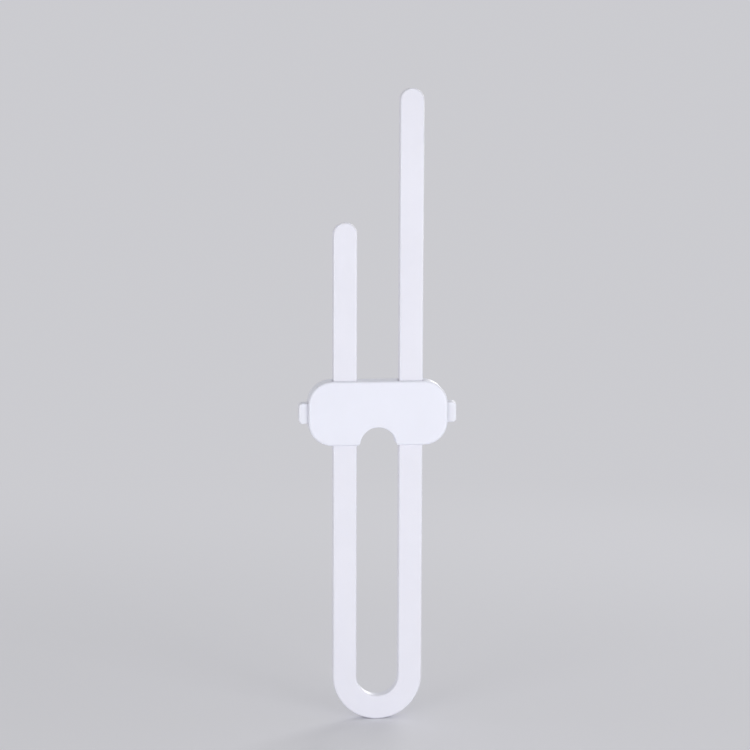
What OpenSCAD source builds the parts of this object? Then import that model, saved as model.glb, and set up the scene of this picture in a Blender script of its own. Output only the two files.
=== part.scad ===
// Sliding cabinet lock: a U-shaped bar and a squeeze-to-release head that runs along its two legs.
// The bar is moulded in one piece, cored out from the back, with a saw-tooth rack hidden in each leg.
// Upright as on a pair of handles: legs along +Z, front towards -Y, origin on the bend's axis at the
// middle of the bar's thickness. All sizes are in millimetres.

/* [Bar] */
// Overall length, from the outside of the bend to the tip of the long leg
bar_l = 246; // [180:1:320]
// Length from the outside of the bend to the tip of the short leg
short_l = 195; // [150:1:240]
// Width of a leg, seen from the front
leg_w = 9.2; // [8:0.1:12]
// Clear gap between the legs, which is the diameter inside the bend too
leg_gap = 16.4; // [14:0.1:24]
// Thickness of the bar, front to back
bar_t = 4.8; // [4:0.1:7]
// Skin in front of the cored back
bar_skin = 1.4; // [1:0.1:2]
// Wall on either side of the cored back
bar_wall = 1.8; // [1.2:0.1:2.2]
// Radius on the bar's front edges
bar_edge_r = 0.7; // [0.3:0.1:1]
// Number of ribs across the cored bend
bend_ribs = 5; // [1:1:9]
// Thickness of a rib or a stop across the cored back
rib_t = 1.4; // [0.8:0.1:2]

/* [Rack] */
// Distance from one tooth to the next
tooth_pitch = 3; // [2:0.1:4]
// Height of a tooth
tooth_h = 1; // [0.6:0.05:1.2]
// Smooth entry left without teeth at the tip of the short leg
entry_l = 8; // [4:0.5:14]

/* [Sliding head] */
// Height of the head, along the legs
head_h = 25; // [20:0.5:34]
// Length of each end of the head, beyond the legs
end_room = 9.6; // [7.9:0.1:14]
// Radius of the head's four corners, seen from the front
corner_r = 9.2; // [6:0.1:11]
// Radius of the notch that closes on a handle or a knob
notch_r = 7.05; // [5:0.05:8.4]
// Radius on the two corners of the notch
notch_corner_r = 1.2; // [0.4:0.1:2]
// Radius on the front edges of the head
head_edge_r = 1; // [0.3:0.1:1.1]
// Thickness of the front wall
front_wall = 1.2; // [0.9:0.1:2]
// Thickness of the walls round the sides
side_wall = 1.2; // [0.9:0.1:2]
// Thickness of the back plate
rear_wall = 1; // [0.8:0.1:2]
// Least distance between the head and the bend's axis
near_gap = 1.5; // [0.5:0.1:6]
// Least length of the long leg left past the head
far_cover = 3; // [1:0.5:20]
// Teeth between the closest position and the one shown
rest_clicks = 30; // [0:1:60]

/* [Buttons] */
// Height of a button, along the legs
tab_h = 8; // [6:0.1:10]
// How far a button stands out of the head
tab_reach = 3.6; // [2.5:0.1:6]
// How far a button lies below the head's front face
tab_drop = 2; // [1.6:0.1:2.6]
// Radius on a button's outer corners
tab_corner_r = 1.5; // [0.5:0.1:2.5]
// Travel of a button
press_stroke = 2; // [1.4:0.1:2.4]
// Thickness of the slide that runs behind a leg
slide_t = 1.2; // [0.8:0.1:2]
// Thickness of the flange that keeps a button in the head
flange_t = 1.4; // [1:0.1:1.6]
// Height of that flange past the button's edge
flange_lip = 1.2; // [0.6:0.1:1.6]
// Width of the pawl behind its teeth
pawl_w = 1.8; // [1.2:0.1:2.2]

/* [Springs] */
// Outer diameter of a spring
spring_d = 3.2; // [2.6:0.1:3.8]
// Diameter of the spring wire
spring_wire = 0.3; // [0.25:0.05:0.4]
// Coils in a spring
spring_turns = 6; // [4:1:9]
// Depth of the pocket that holds a spring in its button
pocket_l = 4.6; // [3:0.1:5.6]

/* [Screws] */
// Diameter of the screw's shank
screw_d = 1.8; // [1.4:0.1:2.2]
// Length of the shank
screw_l = 4.6; // [3:0.1:5]
// Diameter of the screw's head
screw_head_d = 3.4; // [2.8:0.1:3.8]
// Thickness of the screw's head
screw_head_t = 0.8; // [0.6:0.1:1.2]
// Diameter of the boss round a screw
boss_d = 4.2; // [3.8:0.1:4.8]

/* [Pegs] */
// Diameter of the pegs at the ends of the back plate
peg_d = 1.6; // [1.2:0.1:2]
// Length of a peg
peg_l = 2.6; // [1:0.1:4]
// Diameter of the socket that takes a peg
socket_d = 3.2; // [2.6:0.1:3.8]

/* [Fits] */
// Running clearance on every side of a sliding piece
run_gap = 0.2; // [0.1:0.05:0.3]
// Clearance round the back plate and the screws
fit_gap = 0.1; // [0.05:0.05:0.15]
// Clearance between the pawl's teeth and the rack
mesh_gap = 0.12; // [0.08:0.01:0.2]

/* [Hidden] */
$fn = 64;
plastic = [0.93, 0.93, 0.96];
plastic_inner = [0.88, 0.89, 0.93];
steel = [0.66, 0.67, 0.70];

// How far a cut runs past the surface that it opens
over = 1;

// The bar, seen from the front: x across, y along the legs, z towards the front
leg_in = leg_gap / 2;
leg_out = leg_in + leg_w;
leg_mid = leg_in + leg_w / 2;
long_tip = bar_l - leg_out;
short_tip = short_l - leg_out;
bar_front = bar_t / 2;
bar_back = -bar_t / 2;
core_in = leg_in + bar_wall;
core_out = leg_out - bar_wall;
core_top = bar_front - bar_skin;

// The head's positions along the legs, counted in teeth from the closest one
near_z = head_h / 2 + near_gap;
rest_z = near_z + rest_clicks * tooth_pitch;
far_clicks = floor((long_tip - far_cover - head_h / 2 - near_z) / tooth_pitch);
far_z = near_z + far_clicks * tooth_pitch;

// Teeth: the steep flank faces the bend, and the slope lets the head close up
tip_share = 0.12;
slope_share = 0.87;
pawl_teeth = 3;
pawl_half = (pawl_teeth / 2) * tooth_pitch - mesh_gap;
rack_low = near_z - pawl_half - 2 * mesh_gap;
rack_high = far_z + pawl_half + 2 * mesh_gap;
stop_low = rack_low - rib_t;
stop_high = rack_high + rib_t;
first_flank = near_z - (pawl_teeth / 2 - 1) * tooth_pitch;

// The head's layers, from front to back
wall_in_front = bar_front + run_gap;
head_front = wall_in_front + front_wall;
slide_front = bar_back - run_gap;
slide_back = slide_front - slide_t;
plate_front = slide_back - run_gap;
head_back = plate_front - rear_wall;
head_half_w = leg_out + end_room;
head_half_h = head_h / 2;
corner_x = head_half_w - corner_r;
corner_y = head_half_h - corner_r;
end_in = head_half_w - side_wall;
notch_corner_x = sqrt(pow(notch_r + notch_corner_r, 2) - pow(notch_corner_r, 2));

// The channel round a leg, and the ribs beside it
channel_in = leg_in - run_gap;
channel_out = leg_out + run_gap;
guide_t = side_wall;
guide_in = channel_in - guide_t;
guide_out = channel_out + guide_t;

// The buttons
tab_front = head_front - tab_drop;
block_front = wall_in_front - run_gap;
block_in = guide_out + press_stroke + fit_gap;
tab_out = head_half_w + tab_reach;
tab_half = tab_h / 2;
flange_half = tab_half + flange_lip;
pawl_tip = core_out - mesh_gap;
pawl_root = pawl_tip - tooth_h;
pawl_back = max(pawl_root - pawl_w, core_in + press_stroke + run_gap);
pawl_front = core_top - run_gap;

// The springs, along x between the outer guide rib and the end of the button's pocket
spring_r = spring_d / 2;
spring_mid = bar_back + fit_gap + spring_r;
pocket_r = spring_r + run_gap;
pocket_end = block_in + pocket_l;
spring_start = guide_out + fit_gap;
spring_l = pocket_end - fit_gap - spring_start;
nib_r = spring_r - spring_wire - run_gap;
nib_l = press_stroke / 2;
coil_r = spring_r - spring_wire / 2;
coil_pitch = (spring_l - spring_wire) / spring_turns;
coil_sides = 6;
coil_rings = 8;

// The screws, in the middle of the two bays between the legs, above the notch
boss_r = boss_d / 2;
boss_x = (guide_in + guide_t / 2) / 2;
notch_top = notch_r + side_wall - head_half_h;
boss_y = (notch_top + head_half_h - side_wall) / 2;
seat_front = plate_front + rear_wall;
seat_back = head_back + screw_head_t + fit_gap;
pilot_r = screw_d / 2 + fit_gap / 2;
recess_share = 0.16;
recess_w = recess_share * screw_head_d;

// The pegs, beside the outer guide ribs, which their sockets grow out of, and clear of the flanges
peg_r = peg_d / 2;
socket_r = socket_d / 2;
peg_x = guide_out + peg_r + fit_gap;
peg_y = flange_half + run_gap + socket_r;

// Stands what is drawn lying on its back upright, with its front towards -Y
module upright() {
    rotate([90, 0, 0]) children();
}

// Moves the head's pieces to where the head is shown
module at_head() {
    upright() translate([0, rest_z, 0]) children();
}

module both_sides() {
    children();
    mirror([1, 0, 0]) children();
}

// A strip from z0 to z1 with the outline that follows
module layer(z0, z1) {
    translate([0, 0, z0]) linear_extrude(height = z1 - z0) children();
}

// A box given by its two corners in the plane and its two heights
module block(x0, x1, y0, y1, z0, z1) {
    translate([x0, y0, z0]) cube([x1 - x0, y1 - y0, z1 - z0]);
}

module strip(x0, x1, y0, y1) {
    translate([x0, y0]) square([x1 - x0, y1 - y0]);
}

// Section of one side of a bar, from its middle out, with its front edge rounded
module half_section(w, back, front, r) {
    strip(0, w, back, front - r);
    strip(0, w - r, back, front);
    translate([w - r, front - r]) circle(r = r);
}

module bar_section() {
    half_section(leg_w / 2, bar_back, bar_front, bar_edge_r);
    mirror([1, 0]) half_section(leg_w / 2, bar_back, bar_front, bar_edge_r);
}

// One leg from the bend to the middle of its round tip
module leg(tip) {
    round_mid = tip - leg_w / 2;
    translate([leg_mid, round_mid, 0]) {
        rotate([90, 0, 0]) linear_extrude(height = round_mid) bar_section();
        rotate_extrude(angle = 180) half_section(leg_w / 2, bar_back, bar_front, bar_edge_r);
    }
}

// Edge of the rack from one tooth to the next, walking up the leg
function rack_edge(count) = [
    for (i = [0 : count - 1])
        let (flank = first_flank + (i - 1) * tooth_pitch)
            each [
                [core_out, flank],
                [core_out - tooth_h, flank],
                [core_out - tooth_h, flank + tip_share * tooth_pitch],
                [core_out, flank + slope_share * tooth_pitch],
            ]
];

function teeth_up_to(z) = floor((z - first_flank) / tooth_pitch) + 1;

// Cored channel of the long leg, which ends at a stop
module long_channel() {
    polygon(concat([[core_in, rack_low], [core_out, rack_low]],
        rack_edge(teeth_up_to(rack_high)),
        [[core_out, rack_high], [core_in, rack_high]]));
}

// Cored channel of the short leg, open at its tip and flared there
module short_channel() {
    flare = bar_wall / 3;
    mouth = short_tip - leg_w / 2;
    polygon(concat([[core_in, rack_low], [core_out, rack_low]],
        rack_edge(teeth_up_to(short_tip - entry_l)),
        [[core_out, mouth], [core_out + flare, short_tip + over],
            [core_in - flare, short_tip + over], [core_in, mouth]]));
}

// Pocket that cores out the long leg's tip past its stop
module tip_pocket() {
    round_mid = long_tip - leg_w / 2;
    strip(core_in, core_out, stop_high, round_mid);
    translate([leg_mid, round_mid]) circle(r = leg_w / 2 - bar_wall);
}

// Pockets that core out the bend, parted by ribs that point at its middle
module bend_pockets() {
    step = 180 / (bend_ribs + 1);
    difference() {
        union() {
            difference() {
                circle(r = core_out);
                circle(r = core_in);
                strip(-core_out - over, core_out + over, 0, core_out + over);
            }
            both_sides() strip(core_in, core_out, 0, stop_low);
        }
        for (i = [1 : bend_ribs])
            rotate(-i * step) strip(0, core_out + over, -rib_t / 2, rib_t / 2);
    }
}

// The U-shaped bar
module u_bar() {
    color(plastic) upright() difference() {
        union() {
            leg(long_tip);
            mirror([1, 0, 0]) leg(short_tip);
            rotate(180) rotate_extrude(angle = 180) translate([leg_mid, 0]) bar_section();
        }
        layer(bar_back - over, core_top) {
            long_channel();
            mirror([1, 0]) short_channel();
            tip_pocket();
            bend_pockets();
        }
    }
}

module round_rect(half_w, half_h, r) {
    strip(-half_w, half_w, r - half_h, half_h - r);
    strip(r - half_w, half_w - r, -half_h, half_h);
    for (x = [-1, 1], y = [-1, 1])
        translate([x * (half_w - r), y * (half_h - r)]) circle(r = r);
}

// The notch, wider by grow than the real one, with its two corners rounded outwards
module notch(grow = 0) {
    translate([0, -head_half_h]) {
        circle(r = notch_r + grow);
        if (grow == 0)
            both_sides() difference() {
                polygon([[0, 0], [notch_corner_x, 0], [notch_corner_x, notch_corner_r]]);
                translate([notch_corner_x, notch_corner_r]) circle(r = notch_corner_r);
            }
    }
}

// Outline of the head, drawn in by a distance
module head_outline(inset = 0) {
    difference() {
        round_rect(head_half_w - inset, head_half_h - inset, corner_r - inset);
        notch(inset);
    }
}

// The head's outer block with its front edges rounded
module head_block() {
    rotate([90, 0, 90]) translate([0, 0, -corner_x]) linear_extrude(height = 2 * corner_x) {
        half_section(head_half_h, head_back, head_front, head_edge_r);
        mirror([1, 0]) half_section(head_half_h, head_back, head_front, head_edge_r);
    }
    both_sides() translate([corner_x, 0, 0]) {
        translate([0, corner_y, 0]) rotate([90, 0, 0]) linear_extrude(height = 2 * corner_y)
            half_section(corner_r, head_back, head_front, head_edge_r);
        translate([0, corner_y, 0]) rotate_extrude(angle = 90)
            half_section(corner_r, head_back, head_front, head_edge_r);
        translate([0, -corner_y, 0]) rotate(-90) rotate_extrude(angle = 90)
            half_section(corner_r, head_back, head_front, head_edge_r);
    }
}

module at_bosses() {
    for (x = [-1, 1])
        translate([x * boss_x, boss_y]) children();
}

module at_pegs() {
    for (x = [-1, 1], y = [-1, 1])
        translate([x * peg_x, y * peg_y]) children();
}

// Ribs that guide the legs and support the back plate, and the rib that stiffens the middle
module cover_ribs() {
    both_sides() {
        strip(guide_in, channel_in, -head_half_h, head_half_h);
        strip(channel_out, guide_out, -head_half_h, head_half_h);
    }
    strip(-guide_t / 2, guide_t / 2, -head_half_h, head_half_h);
}

// Nib that holds the spring's inner end on the outer guide rib
module spring_nib() {
    translate([guide_out - guide_t / 2, 0, spring_mid]) rotate([0, 90, 0])
        cylinder(r = nib_r, h = nib_l + guide_t / 2);
}

// The deep front shell of the head
module front_cover() {
    slot_half = tab_half + run_gap;
    color(plastic) at_head() difference() {
        union() {
            difference() {
                head_block();
                layer(head_back - over, head_front + over) notch();
                layer(head_back - over, wall_in_front) head_outline(side_wall);
            }
            layer(plate_front, wall_in_front + front_wall / 2) intersection() {
                head_outline(side_wall / 2);
                cover_ribs();
            }
            layer(seat_front, wall_in_front + front_wall / 2) at_bosses() circle(r = boss_r);
            layer(plate_front, wall_in_front + front_wall / 2) intersection() {
                head_outline(side_wall / 2);
                at_pegs() circle(r = socket_r);
            }
            both_sides() spring_nib();
        }
        both_sides() {
            block(channel_in, channel_out, -head_half_h - over, head_half_h + over,
                head_back - over, wall_in_front);
            block(channel_out - over, guide_out + over, -slot_half, slot_half,
                head_back - over, bar_back);
            block(end_in - over, head_half_w + over, -slot_half, slot_half,
                head_back - over, tab_front + run_gap);
        }
        layer(seat_front - over, wall_in_front) at_bosses() circle(r = pilot_r);
        layer(plate_front - over, plate_front + peg_l + fit_gap) at_pegs()
            circle(r = peg_r + fit_gap / 2);
    }
}

// Tongues of the back plate that close the slots behind the legs and the buttons
module rear_tongues() {
    reach = side_wall + over;
    layer(head_back, slide_front) intersection() {
        head_outline();
        both_sides() for (y = [-1, 1]) scale([1, y])
            strip(channel_in + fit_gap, channel_out - fit_gap, head_half_h - reach, head_half_h);
    }
    layer(head_back, plate_front) intersection() {
        head_outline();
        both_sides() strip(head_half_w - reach, head_half_w, -tab_half, tab_half);
    }
}

// The back plate of the head
module rear_cover() {
    guide_y = max(tab_half, pawl_half) + run_gap;
    color(plastic_inner) at_head() difference() {
        union() {
            layer(head_back, plate_front) head_outline(side_wall + fit_gap);
            rear_tongues();
            layer(head_back, seat_front) at_bosses() circle(r = boss_r);
            layer(head_back, plate_front + peg_l) at_pegs() circle(r = peg_r);
            layer(head_back, slide_front - run_gap) both_sides() for (y = [-1, 1]) scale([1, y])
                strip(channel_in + run_gap, channel_out - run_gap, guide_y, guide_y + guide_t);
        }
        layer(head_back - over, seat_back) at_bosses() circle(r = screw_head_d / 2 + fit_gap);
        layer(head_back - over, seat_front + over) at_bosses() circle(r = screw_d / 2 + fit_gap);
    }
}

// Teeth of the pawl: each fits between two teeth of the rack
function pawl_edge() = [
    for (i = [0 : pawl_teeth - 1])
        let (
            flank = (i + 1 - pawl_teeth / 2) * tooth_pitch,
            rise = (slope_share - tip_share) * tooth_pitch / tooth_h,
            low = flank - tooth_pitch + tip_share * tooth_pitch + 2 * mesh_gap)
            each [
                [pawl_root, low],
                [pawl_tip, low + rise * (tooth_h - mesh_gap)],
                [pawl_tip, flank - mesh_gap],
                [pawl_root, flank - mesh_gap],
            ]
];

module pawl() {
    low = -pawl_half;
    high = pawl_half;
    polygon(concat([[pawl_back, low]], pawl_edge(), [[pawl_back, high]]));
}

// Outline of the part of a button that is pushed
module tab_outline() {
    strip(block_in, tab_out - tab_corner_r, -tab_half, tab_half);
    strip(block_in, tab_out, tab_corner_r - tab_half, tab_half - tab_corner_r);
    for (y = [-1, 1])
        translate([tab_out - tab_corner_r, y * (tab_half - tab_corner_r)]) circle(r = tab_corner_r);
}

// A button with its slide and its pawl, in one moulding, for the right side
module button() {
    flange_out = end_in - run_gap;
    difference() {
        union() {
            layer(slide_back, tab_front) tab_outline();
            layer(slide_back, block_front) intersection() {
                head_outline(side_wall + run_gap);
                union() {
                    strip(block_in, flange_out, -tab_half, tab_half);
                    strip(flange_out - flange_t, flange_out, -flange_half, flange_half);
                }
            }
            layer(slide_back, slide_front) strip(pawl_back, block_in + over, -tab_half, tab_half);
            layer(slide_back, pawl_front) pawl();
        }
        translate([block_in - over, 0, spring_mid]) rotate([0, 90, 0])
            cylinder(r = pocket_r, h = pocket_end - block_in + over);
    }
}

module right_button() {
    color(plastic) at_head() button();
}

module left_button() {
    color(plastic) at_head() mirror([1, 0, 0]) button();
}

// Centre of the spring wire after a share t of its coils
function coil_point(t) = [
    spring_start + spring_wire / 2 + t * spring_turns * coil_pitch,
    coil_r * cos(360 * spring_turns * t),
    coil_r * sin(360 * spring_turns * t),
];

function coil_ring(t) =
    let (
        turn = 360 * spring_turns * t,
        out = [0, cos(turn), sin(turn)],
        along = [coil_pitch / (2 * PI), -coil_r * sin(turn), coil_r * cos(turn)],
        ahead = along / norm(along),
        side = cross(ahead, out))
        [for (k = [0 : coil_sides - 1])
            coil_point(t) + spring_wire / 2
                * (cos(360 * k / coil_sides) * out + sin(360 * k / coil_sides) * side)];

// A coil spring along x, for the right side
module coil_spring() {
    rings = coil_rings * spring_turns;
    points = [for (i = [0 : rings]) each coil_ring(i / rings)];
    sides = [
        for (i = [0 : rings - 1], k = [0 : coil_sides - 1])
            let (
                a = i * coil_sides + k,
                b = i * coil_sides + (k + 1) % coil_sides)
                each [[a, b, b + coil_sides], [a, b + coil_sides, a + coil_sides]]
    ];
    first = [for (k = [1 : coil_sides - 2]) [0, k + 1, k]];
    end = rings * coil_sides;
    last = [for (k = [1 : coil_sides - 2]) [end, end + k, end + k + 1]];
    translate([0, 0, spring_mid]) polyhedron(points = points, faces = concat(sides, first, last));
}

module right_spring() {
    color(steel) at_head() coil_spring();
}

module left_spring() {
    color(steel) at_head() rotate([0, 180, 0]) translate([0, 0, -2 * spring_mid]) coil_spring();
}

// One screw with a cross recess in its head
module screw() {
    head_mid = seat_back - screw_head_t / 2;
    difference() {
        union() {
            layer(seat_back - screw_head_t, seat_back) circle(r = screw_head_d / 2);
            layer(head_mid, seat_back + screw_l) circle(r = screw_d / 2);
        }
        layer(head_back - over, head_mid) for (turn = [0, 90]) rotate(turn)
            square([screw_head_d / 2, recess_w], center = true);
    }
}

// The two screws that hold the two covers together
module cover_screws() {
    color(steel) at_head() at_bosses() screw();
}

u_bar();
front_cover();
rear_cover();
left_button();
right_button();
left_spring();
right_spring();
cover_screws();
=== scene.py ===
"""Looks of a sliding cabinet lock: mouldings, springs, screws, their finishes and a plain studio.

Every piece is modelled in millimetres, upright as the lock hangs: x across, y from the front face
to the back, z along the legs, with the origin on the axis of the bend. It is then scaled to metres.
"""

import math
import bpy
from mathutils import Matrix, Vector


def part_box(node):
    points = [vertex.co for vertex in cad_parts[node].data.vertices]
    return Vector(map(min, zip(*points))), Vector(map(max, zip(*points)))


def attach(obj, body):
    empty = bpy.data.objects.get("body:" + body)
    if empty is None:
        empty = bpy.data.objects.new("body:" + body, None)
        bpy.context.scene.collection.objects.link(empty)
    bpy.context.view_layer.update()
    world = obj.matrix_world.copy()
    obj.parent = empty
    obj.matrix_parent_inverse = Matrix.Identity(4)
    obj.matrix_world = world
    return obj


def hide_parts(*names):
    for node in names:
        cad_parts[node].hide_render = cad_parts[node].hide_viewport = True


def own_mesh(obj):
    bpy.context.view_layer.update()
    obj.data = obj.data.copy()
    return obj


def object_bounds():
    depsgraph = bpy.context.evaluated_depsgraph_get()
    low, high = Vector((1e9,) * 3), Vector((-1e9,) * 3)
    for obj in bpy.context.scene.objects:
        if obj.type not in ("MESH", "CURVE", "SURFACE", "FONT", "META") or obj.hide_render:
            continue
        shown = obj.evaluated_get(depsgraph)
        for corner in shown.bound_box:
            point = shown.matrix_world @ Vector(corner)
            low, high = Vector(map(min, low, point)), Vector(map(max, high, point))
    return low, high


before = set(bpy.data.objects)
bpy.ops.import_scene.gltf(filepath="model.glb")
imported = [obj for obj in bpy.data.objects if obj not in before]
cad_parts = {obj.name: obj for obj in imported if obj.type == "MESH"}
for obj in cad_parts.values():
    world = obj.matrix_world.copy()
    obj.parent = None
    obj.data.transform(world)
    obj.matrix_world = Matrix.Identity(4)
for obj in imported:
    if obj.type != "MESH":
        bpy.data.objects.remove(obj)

from types import SimpleNamespace

import bmesh
import bpy
from bpy.props import FloatProperty, FloatVectorProperty, IntProperty, PointerProperty
from mathutils import Vector

bl_info = {
    "name": "Sliding Cabinet Lock",
    "version": (1, 0, 0),
    "blender": (4, 5, 0),
    "location": "View3D > Sidebar > Cabinet Lock",
    "description": "Models a sliding cabinet lock, piece by piece, and lights it",
    "category": "Object",
}

CAD_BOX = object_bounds()
MM = 0.001
X, Y, Z = range(3)

# How far a cutter runs past the surface that it opens, how far joined shapes sink into each other,
# and the hair that keeps two faces from lying in one plane, all in millimetres
OVER = 1.0
SINK = 0.1
HAIR = 0.002

# Points closer than this become one: at a seam, along a cut, and before a cut edge is rounded
SEAM_REACH = 0.0005
CUT_REACH = 0.02
BEVEL_REACH = 0.05

# How far a corner may lie off the plane it is looked for on, and off a line along y
OFF_PLANE = 0.001
OFF_LINE = 0.01

# Angles between two faces: above the first their edge can be rounded, below the second they are
# one flat face, and below the third they are shaded as one surface
SHARP = 0.5
FLAT = math.radians(0.5)
SMOOTH = math.radians(32)

# Places of a tooth's corners, as shares of the pitch, from its steep flank, and a pawl's teeth
TIP_SHARE = 0.12
SLOPE_SHARE = 0.87
PAWL_TEETH = 3

# How much wider the short leg's channel grows towards its mouth, as a share of a wall
FLARE_SHARE = 2 / 3

# Where the cutter of a notch corner starts, as a share of the way out to where the corner begins
MOUTH_SHARE = 0.9

# Pitch of a spring's closed end turns, in thicknesses of its wire
CLOSED_PITCH = 1.05

# The screw's blunt point, as a share of the shank; its dome and recess, as shares of the head's
# height; the arms of its cross, as shares of the head's diameter; how the recess narrows; and how
# far each screw is turned, in radians
POINT_SHARE = 0.2
DOME_SHARE = 0.55
RECESS_SHARE = 0.6
CROSS_LENGTH = 0.29
CROSS_WIDTH = 0.09
RECESS_TAPER = 0.7
SCREW_TURNS = (0.4, 1.1)

# Most of a noise lies between these values
NOISE_LOW, NOISE_HIGH = 0.3, 0.7

# White plastic: its cloudiness and its roughness, each in waves to the metre and by its range; its
# skin and slow flow, in waves, strength and depth; and the light that passes under its surface
CLOUD_WAVES, CLOUD_DARK, CLOUD_LIGHT = 45, 0.985, 1.01
GLOSS = (160, 0.30, 0.38)
SKIN = (2200, 0.06, 0.00004)
FLOW = (55, 0.05, 0.0004)
PLASTIC_IOR = 1.49
UNDER_WEIGHT, UNDER_DEPTH = 0.08, (0.0012, 0.0011, 0.0010)

# Steel: marks that vary its roughness between two shares, fine scratches, and two roughnesses
MARK_WAVES, MARK_SMOOTH, MARK_DULL = 1800, 0.8, 1.25
SCRATCHES = (3200, 0.15, 0.00002)
WIRE_ROUGHNESS, SCREW_ROUGHNESS = 0.25, 0.35

# Studio, in metres and degrees: ambient light, how much paler the lit floor is than the backdrop,
# where it fades into the backdrop, and the camera
AMBIENT = 0.5
FLOOR_SHARE = 1.35
FADE_START, FADE_END = 0.12, 0.55
CAMERA_PLACE = (-0.0965, -0.875, 0.236)
CAMERA_TURN = (82.4, -0.17, -6.205)

# Each lamp's name, its place, the point it faces, its width in metres and its power in watts
LAMPS = (
    ("key", (0.44, -0.68, 0.04), (0, 0, -0.05), 0.35, 3.3),
    ("fill", (-0.5, -0.58, 0.04), (0, 0, -0.05), 0.4, 2.35),
    ("back", (0.62, 1.06, 0.42), (0, 0, 0.1), 0.7, 6.5),
)


def span(node):
    """Lowest and highest corner of a node of the frame, in millimetres."""
    low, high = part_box(node)
    return low / MM, high / MM


BAR_LOW, BAR_HIGH = span("u_bar")
HEAD_LOW, HEAD_HIGH = span("front_cover")
BUTTON_HIGH = span("right_button")[1]
SPRING_LOW, SPRING_HIGH = span("right_spring")


def length(name, text, default_mm):
    return FloatProperty(
        name=name, description=text, default=default_mm * MM, min=0, unit="LENGTH", precision=4
    )


def colour(name, text, default):
    return FloatVectorProperty(
        name=name, description=text, default=default, size=3, min=0, max=1, subtype="COLOR"
    )


class BarSizes(bpy.types.PropertyGroup):
    leg_width: length("Leg width", "Width of a leg, seen from the front", 9.2)
    short_leg: length("Short leg", "From the outside of the bend to the short leg's tip", 195)
    edge_radius: length("Edge radius", "Radius on the front edges", 0.7)
    back_radius: length("Back edge radius", "Radius on the back edges", 0.15)
    skin: length("Skin", "Skin in front of the cored back", 1.4)
    wall: length("Wall", "Wall on either side of the cored back", 1.8)
    rib: length("Rib", "Thickness of a rib or a stop", 1.4)
    bend_ribs: IntProperty(
        name="Bend ribs", description="Ribs across the cored bend", default=5, min=1
    )
    pitch: length("Tooth pitch", "Distance from one tooth to the next", 3)
    tooth: length("Tooth height", "Height of a tooth of the rack", 1)
    entry: length("Entry", "Smooth entry without teeth at the short leg's tip", 8)
    travel_low: length("Closest head", "The head's middle at its closest to the bend", 14)
    travel_high: length("Farthest head", "The head's middle at its farthest", 212)


class HeadSizes(bpy.types.PropertyGroup):
    corner_radius: length("Corner radius", "Radius of the head's four corners", 9.2)
    edge_radius: length("Edge radius", "Radius on the head's front edges", 1)
    notch_radius: length("Notch radius", "Radius of the notch that closes on a handle", 7.05)
    notch_corner: length("Notch corner radius", "Radius on the two corners of the notch", 1.2)
    notch_edge: length("Notch edge radius", "Radius on the notch's front edge", 0.45)
    back_radius: length("Back edge radius", "Radius on the back edges", 0.15)
    front_wall: length("Front wall", "Thickness of the front wall", 1.2)
    side_wall: length("Side wall", "Thickness of the walls round the sides", 1.2)
    rear_wall: length("Back plate", "Thickness of the back plate", 1)
    run_gap: length("Running gap", "Clearance on every side of a sliding piece", 0.2)
    fit_gap: length("Fit gap", "Clearance round the back plate and the screws", 0.1)
    boss: length("Boss", "Diameter of the boss round a screw", 4.2)
    socket: length("Socket", "Diameter of the socket that takes a peg", 3.2)
    peg: length("Peg", "Diameter of a peg on the back plate", 1.6)
    peg_length: length("Peg length", "Length of a peg", 2.6)


class ButtonSizes(bpy.types.PropertyGroup):
    height: length("Height", "Height of a button, along the legs", 8)
    drop: length("Drop", "How far a button lies below the head's face", 2)
    corner_radius: length("Corner radius", "Radius on a button's outer corners", 1.5)
    rim_radius: length("Rim radius", "Radius round the edges of the face that is pushed", 0.55)
    stroke: length("Travel", "Travel of a button", 2)
    slide: length("Slide", "Thickness of the slide behind a leg", 1.2)
    flange: length("Flange", "Thickness of the flange that holds a button in", 1.4)
    flange_lip: length("Flange lip", "Height of that flange past the button's edge", 1.2)
    flange_corner: length("Flange corner", "Radius on the flange's outer corners", 0.5)
    pawl: length("Pawl", "Width of the pawl behind its teeth", 1.8)
    mesh_gap: length("Mesh gap", "Clearance between the pawl's teeth and the rack", 0.12)
    spring_wire: length("Spring wire", "Diameter of the spring wire", 0.3)
    spring_turns: IntProperty(
        name="Spring turns", description="Coils in a spring", default=6, min=3
    )
    pocket: length("Spring pocket", "Depth of the pocket that holds a spring", 4.6)


class ScrewSizes(bpy.types.PropertyGroup):
    shank: length("Shank", "Diameter of the screw over its thread", 1.8)
    shank_length: length("Shank length", "Length of the screw below its head", 4.6)
    head: length("Head", "Diameter of the screw's head", 3.4)
    head_height: length("Head height", "Thickness of the screw's head", 0.8)
    thread_pitch: length("Thread pitch", "Distance from one turn of the thread to the next", 0.6)
    thread_depth: length("Thread depth", "Depth of the thread", 0.25)


class Finishes(bpy.types.PropertyGroup):
    bar: colour("Bar", "White plastic of the bar", (0.80, 0.80, 0.875))
    head: colour("Head", "White plastic of the sliding head", (0.82, 0.83, 0.915))
    button: colour("Buttons", "White plastic of the two buttons", (0.80, 0.81, 0.88))
    steel: colour("Steel", "Spring wire and screws", (0.60, 0.60, 0.62))
    backdrop: colour("Backdrop", "Floor and background", (0.60, 0.60, 0.63))


class StageSizes(bpy.types.PropertyGroup):
    focal: FloatProperty(
        name="Focal length", description="Camera lens", default=110.4, unit="CAMERA"
    )
    reach: length("Floor radius", "Radius of the floor", 3000)


SETTINGS = {
    "lock_bar": BarSizes,
    "lock_head": HeadSizes,
    "lock_buttons": ButtonSizes,
    "lock_screws": ScrewSizes,
    "lock_finishes": Finishes,
    "lock_stage": StageSizes,
}


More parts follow.
